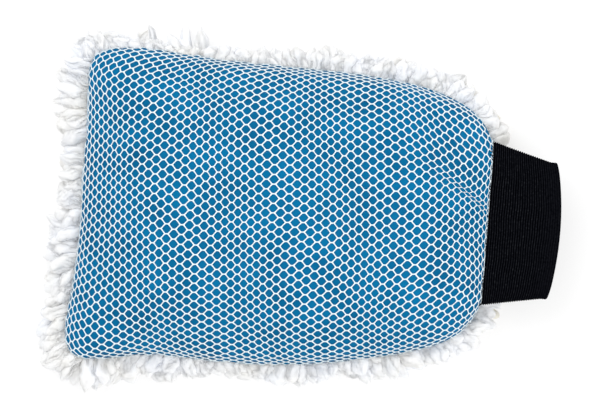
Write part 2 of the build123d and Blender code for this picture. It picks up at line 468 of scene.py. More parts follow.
def pile_material(name, shades):
    """Microfibre locks: fine fibres, in patches that run through four shades."""
    surface = Surface(name, shades[2], 0.95, 0.03)
    surface.colour(surface.noise(45.0, 4.0), *zip((0.28, 0.42, 0.6, 0.75), shades))
    surface.set("Subsurface Weight", 0.5)
    surface.set("Subsurface Radius", (1.0, 1.0, 1.0))
    surface.set("Subsurface Scale", 3.0 * MM)
    surface.bump(surface.noise(1300.0, 4.0), 0.6, 0.4 * MM)
    return surface.material


def white_pile():
    return pile_material("white_pile", ((0.88, 0.87, 0.83), (0.93, 0.93, 0.92),
                                        (0.94, 0.96, 1.0), (0.87, 0.91, 0.99)))


def cream_pile():
    return pile_material("cream_pile", ((0.74, 0.68, 0.5), (0.85, 0.81, 0.68),
                                        (0.93, 0.92, 0.87), (0.93, 0.93, 0.93)))


def elastic_material():
    """Black knitted elastic: small stitches along the ribs, with grey fluff, painted light on the ribs'
    crests and painted shade in the grooves between them.
    """
    surface = Surface("black_elastic", (0.003, 0.0034, 0.005), 0.9, 0.0)
    stitches = surface.wave(0.8 * MM, "Y")
    fluff = surface.noise(900.0, 4.0)
    rib = surface.nodes.new("ShaderNodeAttribute")
    rib.attribute_name = "rib"
    # Real grey fluff, shown only as the rib rises: painted light on the crests and painted shade in the
    # grooves.
    fluff_and_rib_shade = surface.maths("MULTIPLY", rib.outputs["Fac"], fluff)
    surface.colour(fluff_and_rib_shade, (0.08, (0.0004, 0.0005, 0.0012)), (0.5, (0.0085, 0.009, 0.012)),
                   (0.72, (0.03, 0.032, 0.036)))
    surface.bump(surface.maths("ADD", stitches, fluff), 0.5, 0.25 * MM)
    return surface.material


def thread_material(name, colour):
    """Twisted polyester thread."""
    surface = Surface(name, colour, 0.6, 0.2)
    plies = surface.noise(3000.0, 2.0)
    shade = tuple(0.7 * channel for channel in colour)
    surface.colour(plies, (0.35, shade), (0.65, colour))
    surface.bump(plies, 0.4, 0.1 * MM)
    return surface.material


def cloth_material(name, colour, pitch):
    """A plain knitted lining or tape."""
    surface = Surface(name, colour, 0.85)
    shade = tuple(0.86 * channel for channel in colour)
    surface.colour(surface.noise(80.0), (0.3, shade), (0.7, colour))
    surface.bump(surface.knit(pitch, pitch), 0.4, 0.2 * MM)
    return surface.material


def foam_material():
    """Cream open-cell foam, its cells painted darker in their hollows as painted shade."""
    surface = Surface("cream_foam", (0.8, 0.74, 0.56), 0.95)
    cells = surface.texture("ShaderNodeTexVoronoi", 900.0).outputs["Distance"]
    # Painted shade: the cells' hollows, low in the bump, are coloured darker.
    surface.colour(cells, (0.1, (0.5, 0.44, 0.3)), (0.5, (0.82, 0.76, 0.58)))
    surface.bump(cells, 0.8, 0.6 * MM)
    return surface.material


# ---- the padded face
def inflate(obj, pinned, cap):
    """A short run of pressure raises the cloth between its pinned edges, by each point's cap at most."""
    before = points_of(obj.data)
    group = obj.vertex_groups.new(name="pinned")
    group.add([int(index) for index in pinned], 1.0, "REPLACE")
    cloth = obj.modifiers.new("cloth", "CLOTH")
    settings = cloth.settings
    settings.vertex_group_mass = "pinned"
    settings.use_pressure = True
    settings.uniform_pressure_force = 4.0
    settings.effector_weights.gravity = 0.0
    settings.shrink_min = -0.012
    settings.quality = 5
    settings.bending_stiffness = 0.6
    frames = 20
    cloth.point_cache.frame_start = 1
    cloth.point_cache.frame_end = frames
    for number in range(1, frames + 1):
        bpy.context.scene.frame_set(number)
    depsgraph = bpy.context.evaluated_depsgraph_get()
    after = points_of(obj.evaluated_get(depsgraph).to_mesh())
    obj.modifiers.remove(cloth)
    obj.vertex_groups.remove(group)
    bpy.context.scene.frame_set(1)
    before[:, 2] += np.clip(after[:, 2] - before[:, 2], 0.0, cap)
    obj.data.vertices.foreach_set("co", before.ravel())
    obj.data.update()


def cuff_gathers(grid):
    """Small puckers where the face is drawn in to the cuff, dying away over a few centimetres."""
    along, across = in_cuff_frame(grid[..., :2])
    near = np.exp(np.minimum(along - CUFF_SEAM, 0.0) / (13 * MM))
    edge = np.clip((CUFF_SEAM - along) / (2 * MM), 0, 1)
    folds = np.sin(across / (1.55 * MM) + 1.3 * np.sin(across / (9 * MM)))
    broad = np.sin(across / (4.1 * MM) + 0.8)
    pucker = (0.22 * folds * near**1.5 + 0.5 * broad * near) * MM * edge
    out = grid.copy()
    out[..., 2] += pucker
    return out


def rim_ring(grid):
    """The grid's border points in order, starting and ending beside the mouth; the mouth side is open."""
    top = grid[-1, ::-1]
    left = grid[::-1, 0][1:]
    bottom = grid[0][1:]
    return np.concatenate([top, left, bottom])


def rolled_edge(ring):
    """Rows that carry the border down and in under the widest line to the seam."""
    toward = np.concatenate([CENTRE, [0.0]]) - ring
    toward[:, 2] = 0.0
    toward = unit(toward)
    low = SEAM_Z + 0.3 * MM
    rows = []
    for share in (0.35, 0.7, 1.0):
        turn = share * math.pi / 2
        row = ring + toward * SEAM_TUCK * (1 - math.cos(turn))
        row[:, 2] = ring[:, 2] + (low - ring[:, 2]) * math.sin(turn)
        rows.append(row)
    return rows


def sheet_from_grid(name, grid, with_edge):
    """A sheet through the grid's points, with its border rolled under if with_edge is true."""
    rows, columns = grid.shape[:2]
    verts = grid.reshape(-1, 3)
    faces = grid_faces(rows, columns)
    if with_edge:
        index = np.arange(rows * columns).reshape(rows, columns)
        ring_index = rim_ring(index[..., None])[:, 0]
        ring = rim_ring(grid)
        previous = ring_index
        for row in rolled_edge(ring):
            start = len(verts)
            verts = np.concatenate([verts, row])
            current = np.arange(start, start + len(row))
            faces += strip_faces(previous, current, closed=False)
            previous = current
    return new_object(name, verts, faces)


def thicken(obj, thickness, offset):
    modifier = obj.modifiers.new("thickness", "SOLIDIFY")
    modifier.thickness = thickness
    modifier.offset = offset
    modifier.use_even_offset = False


def widest_line(grid):
    """The face's widest line seen from above, as angles about CENTRE and distances from it."""
    return round_centre(np.concatenate([rim_ring(grid), grid[:, -1]]))


def make_face():
    """The blue face, swollen by pressure but pinned at its edge and at the mouth."""
    crown = CROWN_Z - FACE_SLACK
    grid = cuff_gathers(padded_surface(0.6 * MM, crown, EDGE_Z))
    rows, columns = grid.shape[:2]
    count = rows * columns
    face = sheet_from_grid("face_cloth", grid, True)
    border = np.zeros((rows, columns), bool)
    border[0] = border[-1] = True
    border[:, 0] = border[:, -1] = True
    border[:, -2] = True
    rolled = np.arange(count, len(face.data.vertices))
    pinned = np.concatenate([np.flatnonzero(border.ravel()), rolled])
    share = np.clip((points_of(face.data)[:, 2] - EDGE_Z) / (crown - EDGE_Z), 0, 1)
    inflate(face, pinned, FACE_SWELL * share)
    thicken(face, FABRIC, -1.0)
    finish_piece(face, face_material(), "mitt", ["face_fabric"])
    return face, widest_line(grid)


# ---- the net
def carried_outward(found):
    """The values found on the face, carried on past its edge."""
    filled = found.copy()
    while np.isnan(filled).any():
        near = np.stack([np.roll(filled, shift, axis) for shift in (1, -1) for axis in (0, 1)])
        known = ~np.isnan(near)
        mean = np.where(known, near, 0.0).sum(axis=0) / np.maximum(known.sum(axis=0), 1)
        filled = np.where(np.isnan(filled) & known.any(axis=0), mean, filled)
    return filled


class Ground:
    """The padded face as a height over the plan, with lengths measured along its surface."""

    def __init__(self, face):
        polygons = [tuple(polygon.vertices) for polygon in face.data.polygons]
        tree = BVHTree.FromPolygons(points_of(face.data).tolist(), polygons)
        self.step = 1.25 * MM
        self.x = np.arange(NET_LOW[0] - 6 * MM, NET_HIGH[0] + 8 * MM, self.step)
        self.y = np.arange(NET_LOW[1] - 6 * MM, NET_HIGH[1] + 6 * MM, self.step)
        found = np.full((len(self.x), len(self.y)), np.nan)
        for i, x in enumerate(self.x):
            for j, y in enumerate(self.y):
                hit = tree.ray_cast(Vector((x, y, 0.2)), Vector((0, 0, -1)))[0]
                if hit is not None:
                    found[i, j] = hit.z
        along, across = in_cuff_frame(np.stack(np.meshgrid(self.x, self.y, indexing="ij"), axis=-1))
        on_cuff = (along > CUFF_SEAM) & (np.abs(across) < CUFF_ROOT_HALF)
        cuff_top = FOLD_POINT[2] + slot_top(across, CUFF_ROOT_HALF, CUFF_HALF)
        beyond = np.where(on_cuff, cuff_top, EDGE_Z - 2 * MM)
        self.height = np.where(np.isnan(found), beyond, found)
        slopes = [carried_outward(slope) for slope in np.gradient(found, self.step)]
        self.slope_x, self.slope_y = (np.clip(slope, -3.0, 3.0) for slope in slopes)
        self.length_x = self.measure(self.slope_x, 0, CENTRE[0], self.x)
        self.length_y = self.measure(self.slope_y, 1, CENTRE[1], self.y)

    def measure(self, slope, axis, origin, at):
        """Length along the surface from the middle line, by the trapezium rule."""
        rate = np.sqrt(1 + slope**2)
        total = np.cumsum(rate, axis=axis) * self.step - rate * self.step / 2
        start = np.argmin(np.abs(at - origin))
        return total - np.take(total, [start], axis=axis) + (at[start] - origin)

    def sample(self, field, x, y):
        """A field's values at plan points, blended from the four grid points round each."""
        i = np.clip((x - self.x[0]) / self.step, 0, len(self.x) - 1.001)
        j = np.clip((y - self.y[0]) / self.step, 0, len(self.y) - 1.001)
        i0, j0 = i.astype(int), j.astype(int)
        fi, fj = i - i0, j - j0
        low = field[i0, j0] * (1 - fj) + field[i0, j0 + 1] * fj
        high = field[i0 + 1, j0] * (1 - fj) + field[i0 + 1, j0 + 1] * fj
        return low * (1 - fi) + high * fi

    def locate(self, s, t):
        """Plan positions of points given by their lengths along the surface."""
        x, y = s + CENTRE[0], t + CENTRE[1]
        for _ in range(25):
            rate_x = np.sqrt(1 + self.sample(self.slope_x, x, y) ** 2)
            rate_y = np.sqrt(1 + self.sample(self.slope_y, x, y) ** 2)
            x = x + 0.7 * (s - self.sample(self.length_x, x, y)) / rate_x
            y = y + 0.7 * (t - self.sample(self.length_y, x, y)) / rate_y
        return x, y

    def lift(self, x, y, above):
        """Points on the surface, raised along its normal."""
        sx = np.clip(self.sample(self.slope_x, x, y), -2.0, 2.0)
        sy = np.clip(self.sample(self.slope_y, x, y), -2.0, 2.0)
        points = np.stack([x, y, self.sample(self.height, x, y)], axis=-1)
        return points + unit(np.stack([-sx, -sy, np.ones_like(sx)], axis=-1)) * above[..., None]


def keep_inside(x, y, face_edge, margin):
    """Pulls plan points that lie past the face's edge, or past the mouth seam, back to it."""
    plan = np.stack([x, y], axis=-1)
    angle, radius = polar(plan)
    edge = np.interp(angle, *face_edge, period=2 * math.pi) - margin
    scale = np.minimum(1.0, edge / np.maximum(radius, 1e-6))
    plan = CENTRE + (plan - CENTRE) * scale[:, None]
    along, across = in_cuff_frame(plan)
    past = np.maximum(along - NET_END, 0.0) * (np.abs(across) < CUFF_ROOT_HALF)
    return (plan - past[:, None] * CUFF_AXIS[:2]).T


def crowd_to_seam(x, y):
    """Draws plan points up to the mouth's seam, where the net is gathered into it."""
    along, across = in_cuff_frame(np.stack([x, y], axis=-1))
    back = np.maximum(NET_END - along, 0.0)
    spread = 12 * MM + 0.9 * back
    beside = np.clip(0.5 + (CUFF_ROOT_HALF - np.abs(across)) / spread, 0, 1)
    beside = beside**2 * (3 - 2 * beside)
    pull = NET_CROWDING * (1 - np.exp(-back / NET_CROWDING)) * np.exp(-back / NET_LOOSENING) * beside
    return x + pull * CUFF_AXIS[0], y + pull * CUFF_AXIS[1]


def lattice_to_cloth(s, t):
    """The net's own slight turn, bow, waviness and one gather, as it was pulled over the pad."""
    turned_s = s * math.cos(NET_TURN) - t * math.sin(NET_TURN)
    turned_t = s * math.sin(NET_TURN) + t * math.cos(NET_TURN)
    bow = NET_BOW * (t / (80 * MM)) ** 2
    ripple = NET_RIPPLE * np.sin(s / (9 * MM) + t / (31 * MM))
    gather_line = GATHER_START[1] + GATHER_SLOPE * (turned_s - GATHER_START[0])
    near = np.exp(-((turned_s - GATHER_MIDDLE) / GATHER_LENGTH) ** 2)
    gather = GATHER_DEPTH * np.tanh((turned_t - gather_line) / GATHER_WIDTH) * near
    wander = NET_WANDER * np.sin(s / (17 * MM) - t / (23 * MM))
    return turned_s + bow - NET_SHIFT + ripple, turned_t + wander - gather


def hexagon(inset):
    """A cell's border as twelve points, corners and edge middles, drawn in by inset and rounded."""
    half_flat, half_row = NET_FLAT / 2, NET_ROW / 2
    tip = NET_COLUMN - half_flat
    corners = np.array([(tip, 0), (half_flat, half_row), (-half_flat, half_row),
                        (-tip, 0), (-half_flat, -half_row), (half_flat, -half_row)])
    middles = (corners + np.roll(corners, -1, axis=0)) / 2
    ring = np.stack([corners, middles], axis=1).reshape(-1, 2)
    if inset == 0:
        return ring
    slope_run = tip - half_flat
    normal_scale = half_row / math.hypot(half_row, slope_run)
    shrink = np.array((1 - inset / (tip * normal_scale), 1 - inset / half_row))
    inner = ring * shrink
    smooth = (np.roll(inner, 1, axis=0) + np.roll(inner, -1, axis=0)) / 2
    return inner * 0.82 + smooth * 0.18


def cell_centres(ground, face_edge):
    """Centres of the honeycomb's cells that lie on the face, or part of them does."""
    reach_s, reach_t = 140 * MM, 115 * MM
    columns = np.arange(-int(reach_s / NET_COLUMN), int(reach_s / NET_COLUMN) + 1)
    rows = np.arange(-int(reach_t / NET_ROW), int(reach_t / NET_ROW) + 1)
    i, j = (part.ravel() for part in np.meshgrid(columns, rows, indexing="ij"))
    centre = np.stack([i * NET_COLUMN, j * NET_ROW + (i % 2) * NET_ROW / 2], axis=-1)
    x, y = ground.locate(*lattice_to_cloth(*centre.T))
    kept_x, kept_y = keep_inside(x, y, face_edge, 0.0)
    moved = np.hypot(kept_x - x, kept_y - y)
    return centre[moved < 0.8 * NET_COLUMN]


def make_net(face, face_edge):
    """The net's strands: each cell's border, shared with its neighbours, with flanks down to the cloth."""
    ground = Ground(face)
    centre = cell_centres(ground, face_edge)

    # Rings from the strand's crest, down its flank to the cloth, and back under the strand.
    rings = ((0.0, NET_THICK), (0.30 * NET_STRAND, 0.78 * NET_THICK),
             (0.5 * NET_STRAND, 0.22 * NET_THICK), (0.0, 0.05 * NET_THICK))
    verts, levels, index, total = [], [], [], 0
    for inset, height in rings:
        points = (centre[:, None] + hexagon(inset)).reshape(-1, 2)
        own = np.arange(len(points))
        if inset == 0:  # cells side by side share the middle line of the strand between them
            rounded = np.round(points / (0.001 * MM))
            _, first, own = np.unique(rounded, axis=0, return_index=True, return_inverse=True)
            points = points[first]
        index.append(total + own.reshape(len(centre), -1))
        verts.append(points)
        levels.append(np.full(len(points), height))
        total += len(points)
    faces = []
    for upper, lower in zip(index[:-1], index[1:]):
        faces += strip_faces(upper, lower)
    x, y = ground.locate(*lattice_to_cloth(*np.concatenate(verts).T))
    x, y = keep_inside(*crowd_to_seam(x, y), face_edge, -0.1 * MM)
    points = ground.lift(x, y, np.concatenate(levels) + NET_CLEARANCE)
    net = new_object("net_strands", points, faces)
    finish_piece(net, net_material(), "mitt", ["scrub_net"])
    return net


# ---- the pile
def tube_rings(line, radius, side, other, sides):
    """Rings of points about lines (threads, points, 3), and the faces that join and cap them."""
    count, segments = line.shape[:2]
    angle = np.linspace(0, 2 * math.pi, sides, endpoint=False)
    across = (np.cos(angle) * radius)[..., None] * side[:, :, None]
    up = (np.sin(angle) * radius)[..., None] * other[:, :, None]
    verts = (line[:, :, None] + across + up).reshape(-1, 3)
    block = segments * sides
    starts = (np.arange(count) * block)[:, None]
    quads = np.array(grid_faces(segments, sides, wrap=True))
    faces = (quads[None] + starts[..., None]).reshape(-1, 4).tolist()
    for cap in (np.arange(sides)[::-1], np.arange(block - sides, block)):
        faces += (cap[None] + starts).tolist()
    return verts, faces


def join_meshes(parts):
    """One list of points and faces from several."""
    verts, faces, start = [], [], 0
    for points, polygons in parts:
        verts.append(points)
        faces += [[index + start for index in polygon] for polygon in polygons]
        start += len(points)
    return np.concatenate(verts), faces


def soft_floor(z, clearance, softness):
    """Heights eased up so that they stay clear of the surface that the mitt lies on."""
    lowest = PILE_LOW[2] + clearance
    return lowest + softness * np.logaddexp(0.0, (z - lowest) / softness)


def pile_locks(name, root, direction, droop, length, width, hairs):
    """Soft locks: lobed, twisted cores with fine hairs that lie along them and stray past their tips."""
    count = len(root)
    side = unit(np.cross(direction, UP))
    other = np.cross(direction, side)

    def chance(low, high):
        return RANDOM.uniform(low, high, (count, 1))

    phase, twist = [chance(0, 2 * math.pi) for _ in range(3)], chance(-3.5, 3.5)
    sway, bluntness = chance(0.6, 1.8) * MM, chance(4.5, 12.0)

    def girth(t):
        lumps = 1 + 0.13 * np.sin(13 * t + phase[1])
        return (0.72 + 0.38 * np.sin(math.pi * np.minimum(t, 1.0) ** 1.2)) * lumps * width[:, None] / 2

    def line(t):
        reach = (length[:, None] * t)[..., None]
        swing = (sway * t * np.sin(4.5 * t + phase[0]))[..., None]
        bent = direction[:, None] + droop[:, None] * t[..., None]
        path = root[:, None] + reach * bent + side[:, None] * swing
        path[..., 2] = soft_floor(path[..., 2], 0.8 * girth(t), 1.0 * MM)
        return path

    t = np.broadcast_to(1 - (1 - np.linspace(0, 1, CORE_RINGS)) ** 1.6, (count, CORE_RINGS))
    even = np.broadcast_to(np.linspace(0, 1, HAIR_RINGS), (count, HAIR_RINGS))
    angle = np.linspace(0, 2 * math.pi, CORE_SIDES, endpoint=False)
    turn = (twist * t + phase[2])[..., None]
    lobes = 1 + 0.2 * np.cos(3 * angle + turn) + 0.1 * np.cos(5 * angle - 2 * turn)
    wide = np.broadcast_to(side[:, None], (count, CORE_RINGS, 3))
    flat = np.broadcast_to(0.85 * other[:, None], (count, CORE_RINGS, 3))
    hair_wide, hair_flat = wide[:, :HAIR_RINGS], flat[:, :HAIR_RINGS]
    tip = np.sqrt(np.maximum(1 - t**bluntness, 0.01))
    parts = [tube_rings(line(t), (girth(t) * tip)[..., None] * lobes, wide, flat, CORE_SIDES)]
    for _ in range(hairs):
        own = even * chance(0.8, 1.04)
        around = chance(0, 2 * math.pi) + twist * own + 0.5 * np.sin(7 * own + phase[1])
        out = hair_wide * np.cos(around)[..., None] + hair_flat * np.sin(around)[..., None]
        draw_in = 0.98 * (1 - chance(0.3, 0.8) * own**3)
        hair = line(own) + out * (girth(own) * draw_in)[..., None]
        taper = chance(0.22, 0.4) * MM * (1 - 0.8 * even**2)
        parts.append(tube_rings(hair, taper[..., None], hair_wide, hair_flat, HAIR_SIDES))
    verts, faces = join_meshes(parts)
    verts[:, 2] = soft_floor(verts[:, 2], 0.1 * MM, 0.4 * MM)
    return new_object(name, verts, faces)


def fringe_layer(name, where, spacing, inset, root_z, lift, share, width, lean):
    """One row of locks that splay out from under the face; where says which part of the edge it fills."""
    curve, tangent, outward = edge_run(spacing)
    count = len(curve)
    at = np.arange(count) * spacing
    broad, fine = RANDOM.random() * 6, RANDOM.random() * 6
    sweep = 0.3 * np.sin(at / (11 * MM) + broad) + 0.2 * np.sin(at / (4.3 * MM) + fine)
    sweep = sweep + RANDOM.normal(SWIRL, 0.2, count)
    turned = unit(outward * np.cos(sweep)[:, None] + tangent * np.sin(sweep)[:, None] + lean * CUFF_AXIS[:2])
    rise = lift + RANDOM.normal(0, 0.12, count)
    direction = np.concatenate([turned * np.cos(rise)[:, None], np.sin(rise)[:, None]], axis=1)
    root = np.concatenate([curve - outward * inset, np.full((count, 1), root_z)], axis=1)
    root[:, 2] += RANDOM.normal(0, 0.6 * MM, count)
    uneven = 1 + 0.14 * RANDOM.normal(0, 1, count).clip(-1.8, 1.3)
    degrees = np.degrees(polar(curve)[0])
    around, reach = zip(*REACH_ROUND)
    long = inset + np.interp(degrees, around, reach, period=360) * MM * share * uneven
    droop = np.zeros((count, 3))
    droop[:, 2] = -0.16 + RANDOM.normal(0, 0.08, count)
    fat = width * (1 + 0.18 * RANDOM.normal(0, 1, count).clip(-1.5, 1.5))
    to_end = np.minimum(at, at[-1] - at)
    fills = {"round": to_end > CORNER,
             "corners": to_end < CORNER,
             "tufts": (degrees > TUFTS[0]) & (degrees < TUFTS[1])}
    keep = fills[where]
    return pile_locks(name, root[keep], direction[keep], droop[keep], long[keep], fat[keep],
                      FRINGE_HAIRS)


def make_fringe(white, cream):
    """The rows of locks, from the top one down, with their ends beside the cuff and a few loose tufts."""
    top = EDGE_Z - 4.2 * MM
    # Spacing, inset and level in millimetres; lift in radians; share of the reach; width; lean.
    layers = (
        ("pile_fringe_top", "round", 3.3, 4.0, 0.0, 0.08, 0.8, 7.2, 0.0, white),
        ("pile_fringe_upper", "round", 3.8, 4.5, -3.0, -0.02, 0.95, 8.0, 0.0, white),
        ("pile_fringe_middle", "round", 4.1, 5.0, -6.5, -0.16, 0.9, 7.8, 0.0, white),
        ("pile_fringe_lower", "round", 4.5, 5.5, -9.5, -0.3, 0.8, 7.2, 0.0, white),
        ("pile_cuff_corners", "corners", 2.2, 3.0, -2.0, 0.0, 0.95, 7.0, 0.35, white),
        ("pile_cuff_corners_low", "corners", 2.4, 3.5, -7.0, -0.1, 0.95, 6.4, 0.9, cream),
        ("pile_loose_tufts", "tufts", 6.6, 4.0, -1.5, 0.0, 2.1, 5.2, 0.0, white),
    )
    for name, where, spacing, inset, level, lift, share, width, lean, material in layers:
        locks = fringe_layer(name, where, spacing * MM, inset * MM, top + level * MM, lift, share,
                             width * MM, lean)
        replaces = ["pile_fringe"] if name == "pile_fringe_top" else []
        finish_piece(locks, material, "mitt", replaces)


def make_pile_field(material):
    """The locks under the mitt, in four quarters."""
    spacing = 4.9 * MM
    x = np.arange(PILE_LOW[0] + 2 * MM, PILE_HIGH[0], spacing)
    y = np.arange(PILE_LOW[1] + 2 * MM, PILE_HIGH[1], spacing)
    grid = np.stack(np.meshgrid(x, y, indexing="ij"), axis=-1).reshape(-1, 2)
    grid += RANDOM.uniform(-1.5, 1.5, grid.shape) * MM
    angle, distance = polar(grid)
    along, _ = in_cuff_frame(grid)
    grid = grid[(distance < rim_radius(angle) - 2.5 * MM) & (along < CUFF_SEAM - 1.5 * MM)]
    at_fingers, on_left = grid[:, 0] < CENTRE[0], grid[:, 1] > CENTRE[1]
    ends = (("finger", at_fingers), ("cuff", ~at_fingers))
    sides = (("left", on_left), ("right", ~on_left))
    for (end, at_end), (side, at_side) in itertools.product(ends, sides):
        place = grid[at_end & at_side]
        count = len(place)
        root = np.concatenate([place, np.full((count, 1), BACKING_LOW[2] - 0.2 * MM)], axis=1)
        lean = RANDOM.normal(0, 0.4, (count, 2))
        direction = unit(np.concatenate([lean, -np.ones((count, 1))], axis=1))
        droop = np.concatenate([lean * 0.6, np.zeros((count, 1))], axis=1)
        length = (PILE_HIGH[2] - PILE_LOW[2]) * RANDOM.uniform(1.0, 1.15, count)
        width = RANDOM.uniform(5.2, 6.4, count) * MM
        name = f"pile_field_{end}_{side}"
        locks = pile_locks(name, root, direction, droop, length, width, FIELD_HAIRS)
        replaces = ["pile_field"] if name == "pile_field_finger_left" else []
        finish_piece(locks, material, "mitt", replaces)


# ---- the cuff
def cuff_section(count, half_width, half_height):
    """Points round a flattened tube: (across, up, outward normal across, outward normal up)."""
    straight = 2 * (half_width - half_height)
    half = straight + math.pi * half_height
    underneath, at = np.divmod(np.linspace(0, 2 * half, count, endpoint=False), half)
    sign = 1 - 2 * underneath
    bend = np.maximum(at - straight, 0.0) / half_height
    normal_a, normal_u = sign * np.sin(bend), sign * np.cos(bend)
    across = sign * (np.minimum(at, straight) - straight / 2) + half_height * normal_a
    return across, half_height * normal_u, normal_a, normal_u


def cuff_half_sizes(along):
    """Share of the way to the free edge, and the band's half width and half height there."""
    share = np.clip(along / CUFF_CORNER_REACH, 0, 1)
    half_width = CUFF_ROOT_HALF + (CUFF_END_HALF - CUFF_ROOT_HALF) * share
    half_height = CUFF_HALF * (1 - 0.2 * share**1.5)
    return share, half_width, half_height


def finish_on_cuff(obj, material, slot, *replaces):
    """Gives a piece of the cuff its material, hides the CAD nodes that it replaces and bakes its place into
    its mesh; the slot is not used.
    """
    obj.data.materials.append(material)
    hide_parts(*replaces)
    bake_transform(obj)


def make_cuff(material):
    """The elastic band: a ribbed tube with inner and outer walls, lapped underneath."""
    around = 180
    outer = np.arange(CUFF_INSIDE, CUFF_REACH - CUFF_WALL / 2, RIB_PITCH / 6)
    turn = np.linspace(0, math.pi, 9)[1:-1]
    path = [(along, 0.0, 1.0) for along in outer]
    path += [(outer[-1] + CUFF_WALL / 2 * math.sin(a), CUFF_WALL / 2 * (1 - math.cos(a)), 0.0) for a in turn]
    path += [(along, CUFF_WALL, -1.0) for along in outer[::-1]]
    rows, rib_shade_heights = [], []
    for along, depth, rib in path:
        share, half_width, half_height = cuff_half_sizes(along)
        across, up, normal_a, normal_u = cuff_section(around, half_width, half_height)
        waver = 0.9 * np.sin(across / (6 * MM) + along / (9 * MM)) + 0.5 * np.sin(across / (2.3 * MM))
        fade = 1 - 0.6 * np.clip((along - RIB_FADE_START) / RIB_FADE, 0, 1)
        wave_at = fade * np.cos(2 * math.pi * along / RIB_PITCH + waver)
        swell = rib * RIB_HEIGHT * wave_at
        # The rib's height, kept for the elastic's painted shade in its grooves and painted light on its
        # crests.
        rib_shade_heights.append(0.5 + 0.5 * wave_at)
        ripple = 0.35 * MM * share**2 * np.sin(across / (7.5 * MM))
        lap = np.clip((LAP_HALF - np.abs(across - LAP_ACROSS)) / LAP_STEP, 0, 1) * (normal_u < -0.9)
        offset = swell - depth + LAP_STEP * lap * (rib > 0)
        bow = 1 - (across / CUFF_END_HALF) ** 2 * (1 - CUFF_CORNER_REACH / CUFF_REACH)
        reach = along * bow if along > 0 else along * np.ones(around)
        z = FOLD_POINT[2] + up + normal_u * (offset + ripple)
        middle = across + normal_a * offset + CUFF_END_SHIFT * share
        rows.append(from_cuff_frame(reach, middle, z))
    faces = grid_faces(len(rows), around, wrap=True)
    first = np.arange(around)
    faces += strip_faces(first + (len(rows) - 1) * around, first)
    cuff = new_object("cuff_elastic", np.concatenate(rows), faces)
    # Stores the rib heights that paint the elastic's grooves darker as painted shade.
    rib_shade_layer = cuff.data.attributes.new("rib", "FLOAT", "POINT")
    rib_shade_layer.data.foreach_set("value", np.concatenate(rib_shade_heights))
    finish_on_cuff(cuff, material, "elastic", "cuff_band", "cuff_root")


def threads(name, paths, radius, sides=6):
    """Round threads that follow paths, an array (threads, points, 3)."""
    tangent = unit(np.gradient(paths, axis=1))
    side = unit(np.cross(tangent, np.array((0.31, 0.17, 0.93))))
    other = np.cross(tangent, side)
    verts, faces = tube_rings(paths, np.full((*paths.shape[:2], 1), radius), side, other, sides)
    return new_object(name, verts, faces)


def make_closing_stitches(material):
    """A zigzag of thread that holds the elastic's lapped ends together."""
    count = 26
    along = np.linspace(11 * MM, 33 * MM, count)
    swing = 1.8 * MM * np.where(np.arange(count) % 2, 1, -1)
    share, _, half_height = cuff_half_sizes(along)
    corners = from_cuff_frame(along, LAP_ACROSS + swing + CUFF_END_SHIFT * share,
                              FOLD_POINT[2] - half_height - LAP_STEP - 0.25 * MM)
    path = resample(corners, count * 6)
    stitches = threads("closing_zigzag", path[None], 0.3 * MM)
    finish_on_cuff(stitches, material, "elastic_thread", "cuff_closing_stitches")


def make_mouth_overlock(material):
    """Overlock thread wound round the mouth's seam."""
    turns, per_turn = 110, 12
    count = turns * per_turn
    across, up, normal_a, normal_u = cuff_section(count, CUFF_ROOT_HALF + 0.35 * MM, CUFF_HALF + 0.35 * MM)
    wind = 2 * math.pi * np.arange(count) / per_turn
    out = 0.35 * MM * np.sin(wind)
    path = from_cuff_frame(CUFF_SEAM + 0.1 * MM + 0.7 * MM * np.cos(wind), across + normal_a * out,
                           FOLD_POINT[2] + up + normal_u * out)
    overlock = threads("overlock_thread", path[None], 0.26 * MM, 5)
    finish_piece(overlock, material, "mitt", ["mouth_overlock"])


def shell_between(name, outer, inner):
    """A closed pad: an outer and an inner grid of the same size, joined round all four sides."""
    rows, columns = outer.shape[:2]
    count = rows * columns
    index = np.arange(count).reshape(rows, columns)
    faces = grid_faces(rows, columns)
    faces += [face[::-1] for face in grid_faces(rows, columns, start=count)]
    border = np.concatenate([index[0], index[1:, -1], index[-1, -2::-1], index[-2:0:-1, 0]])
    faces += strip_faces(border + count, border)
    return new_object(name, np.concatenate([outer.reshape(-1, 3), inner.reshape(-1, 3)]), faces)


def make_padding():
    """The foam pad between the face and the pocket's lining."""
    outer = padded_surface(2.2 * MM, CROWN_Z - 4.5 * MM, EDGE_Z, mouth_back=3 * MM, **INNER_GRID)
    outer[..., 2] -= 1.2 * MM
    inner = padded_surface(POCKET_INSET, CROWN_Z - FOAM_TOP, SEAM_Z + 0.8 * MM, mouth_back=POCKET_BACK,
                           **INNER_GRID)
    inner[..., 2] += 0.6 * MM
    foam = shell_between("foam_body", outer, inner)
    finish_piece(foam, foam_material(), "mitt", ["foam_pad"])


def make_linings():
    """The hand pocket's two sides and the pile's base cloth."""
    lining = cloth_material("white_lining", (0.78, 0.79, 0.8), 0.9 * MM)
    pocket = (0.205, 0.145)
    layers = (
        ("pocket_lining_upper", POCKET_INSET, CROWN_Z - FOAM_TOP, SEAM_Z + 0.6 * MM, POCKET_BACK, 1,
         pocket, 0.0262, "foam_pad"),
        ("pocket_lining_lower", POCKET_INSET, SEAM_Z - 0.9 * MM, SEAM_Z - 0.4 * MM, POCKET_BACK, -1,
         pocket, 0.0225, "pile_backing"),
        ("pile_backing", 4.2 * MM, BACKING_LOW[2] + 0.3 * MM, BACKING_LOW[2] + 0.8 * MM, 1 * MM, -1,
         (0.213, 0.157), 0.029, "pile_field"),
    )
    for name, inset, crown, edge_z, back, side, flat, area, under in layers:
        grid = padded_surface(inset, crown, edge_z, mouth_back=back, mouth_side=side, **INNER_GRID)
        if side < 0:
            grid[..., 2] = np.clip(grid[..., 2], edge_z - 1.2 * MM, None)
        cloth = sheet_from_grid(name + "_cloth", grid, False)
        thicken(cloth, FABRIC, -side)
        finish_piece(cloth, lining, "mitt", [name])


